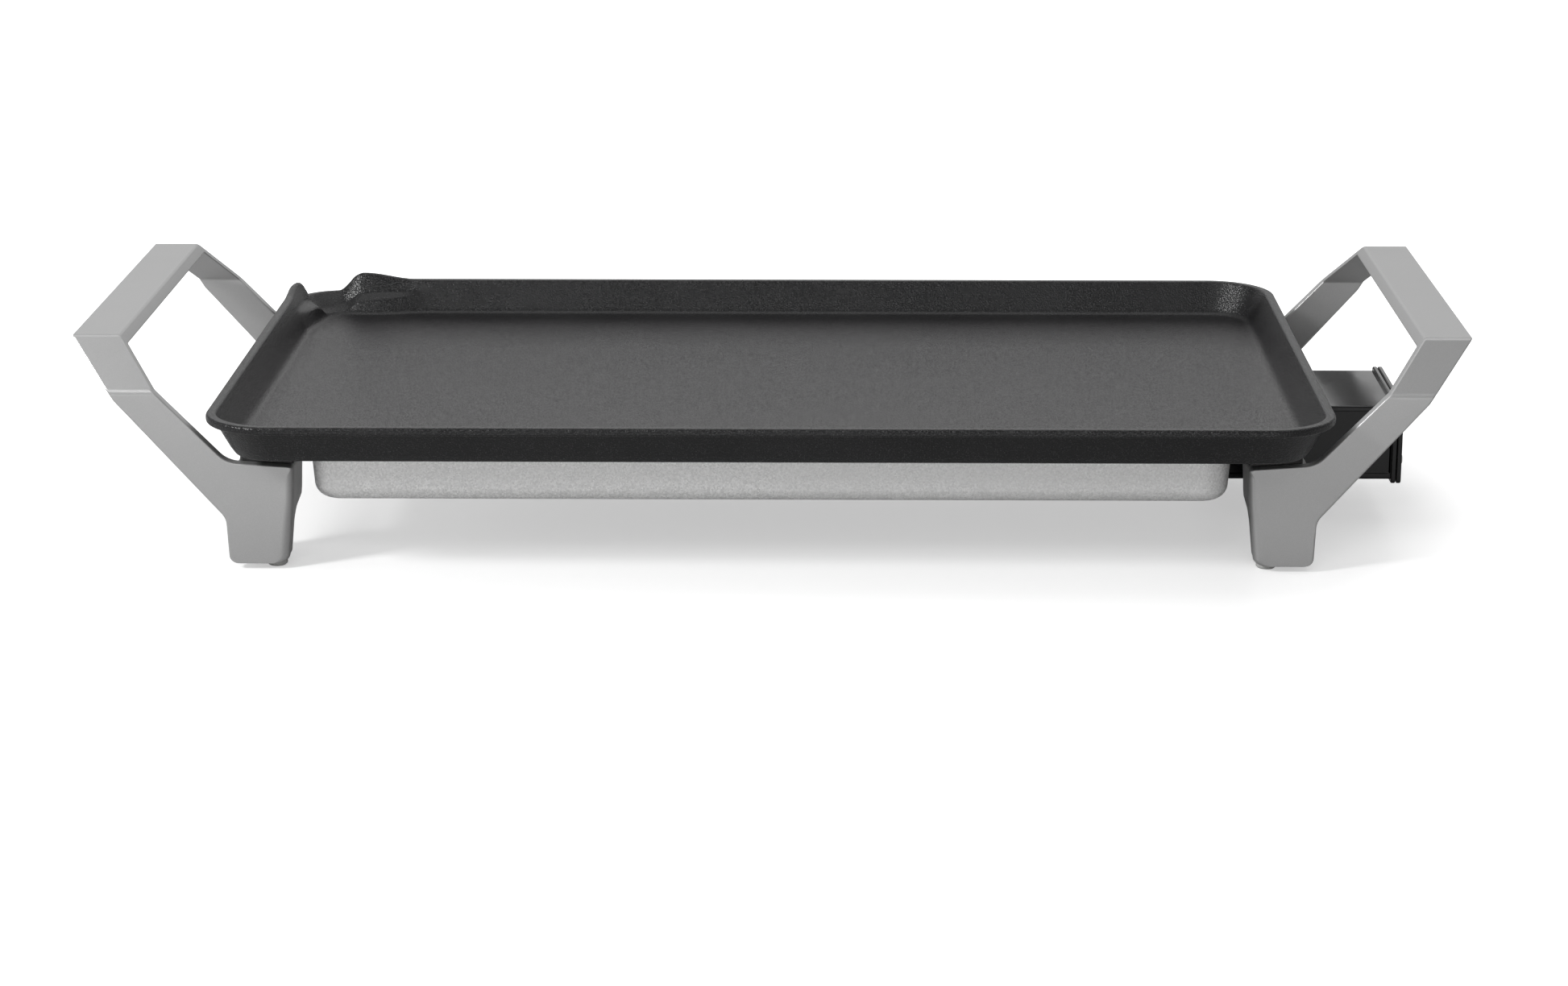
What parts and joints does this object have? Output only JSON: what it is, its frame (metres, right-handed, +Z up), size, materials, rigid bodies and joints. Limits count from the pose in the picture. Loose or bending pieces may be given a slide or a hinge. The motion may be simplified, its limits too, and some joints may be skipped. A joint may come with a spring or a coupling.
{
  "type": "electric table griddle",
  "caption": "Wide rectangular table griddle with a rimmed non-stick plate, pouring corner, cast handle legs, heat shield and plug-in dial control.",
  "frame": {"origin": "on the table surface, under the middle of the plate", "axes": "+X along the plate towards the control, +Y from the front edge to the back edge, +Z up"},
  "size_m": [0.7502, 0.36, 0.1244],
  "materials": {
    "nonstick_plate": "satin non-stick coating on cast aluminium",
    "silver_casting": "satin silver paint on a die casting",
    "shield_steel": "spangled aluminised sheet",
    "element_sheath": "heat-darkened sheath",
    "plated_steel": "bright zinc plate",
    "contact_brass": "bare brass",
    "ceramic_white": "unglazed ceramic",
    "gloss_black": "gloss moulded plastic",
    "matte_black": "matte moulded plastic",
    "foot_rubber": "soft grey rubber",
    "lens_amber": "clear amber plastic",
    "lamp_glass": "clear glass"
  },
  "bodies": {
    "base": {"clamp_screw_1": "plated_steel", "clamp_screw_2": "plated_steel", "clamp_screw_3": "plated_steel", "clamp_screw_4": "plated_steel", "element_clamp_1": "plated_steel", "element_clamp_2": "plated_steel", "element_clamp_3": "plated_steel", "element_clamp_4": "plated_steel", "element_pin_front": "plated_steel", "element_pin_rear": "plated_steel", "foot_left_back": "foot_rubber", "foot_left_front": "foot_rubber", "foot_right_back": "foot_rubber", "foot_right_front": "foot_rubber", "griddle_plate": "nonstick_plate", "handle_frame_left": "silver_casting", "handle_frame_right": "silver_casting", "heat_shield": "shield_steel", "heat_spacer_left_back": "matte_black", "heat_spacer_left_front": "matte_black", "heat_spacer_right_back": "matte_black", "heat_spacer_right_front": "matte_black", "heating_element": "element_sheath", "leg_screw_left_back": "plated_steel", "leg_screw_left_front": "plated_steel", "leg_screw_right_back": "plated_steel", "leg_screw_right_front": "plated_steel", "pin_insulator_front": "ceramic_white", "pin_insulator_rear": "ceramic_white", "shield_screw_1": "plated_steel", "shield_screw_2": "plated_steel", "shield_screw_3": "plated_steel", "shield_screw_4": "plated_steel", "socket_housing": "gloss_black", "socket_nut_front": "plated_steel", "socket_nut_rear": "plated_steel", "socket_screw_front": "plated_steel", "socket_screw_rear": "plated_steel"},
    "control": {"control_bezel": "gloss_black", "control_shell_lower": "gloss_black", "control_shell_upper": "gloss_black", "cord_gland": "matte_black", "bezel_screw_lower": "plated_steel", "bezel_screw_upper": "plated_steel", "pilot_lamp": "lamp_glass", "pilot_lens": "lens_amber", "sensor_probe": "plated_steel", "terminal_block": "ceramic_white", "terminal_sleeve_front": "contact_brass", "terminal_sleeve_rear": "contact_brass", "thermostat_bracket": "plated_steel", "contact_stack": "ceramic_white", "contact_leaf_fixed": "contact_brass"},
    "dial": {"dial_knob": "matte_black", "dial_spindle": "contact_brass"},
    "contact_blade": {"contact_leaf_moving": "contact_brass"}
  },
  "joints": [
    {"name": "control_pull", "type": "slide", "parent": "base", "child": "control", "axis": [1, 0, 0], "range_m": [0, 0.146]},
    {"name": "dial_turn", "type": "hinge", "parent": "control", "child": "dial", "pos_m": [0.3449, 0.008, 0.0455], "axis": [-1, 0, 0], "range_deg": [0, 300]},
    {"name": "contact_close", "type": "hinge", "parent": "control", "child": "contact_blade", "pos_m": [0.3003, 0.008, 0.0393], "axis": [0, 1, 0], "range_deg": [0, 1.8]}
  ],
  "couplings": [
    {"joint": "contact_close", "follows": "dial_turn", "ratio": 0.006}
  ]
}
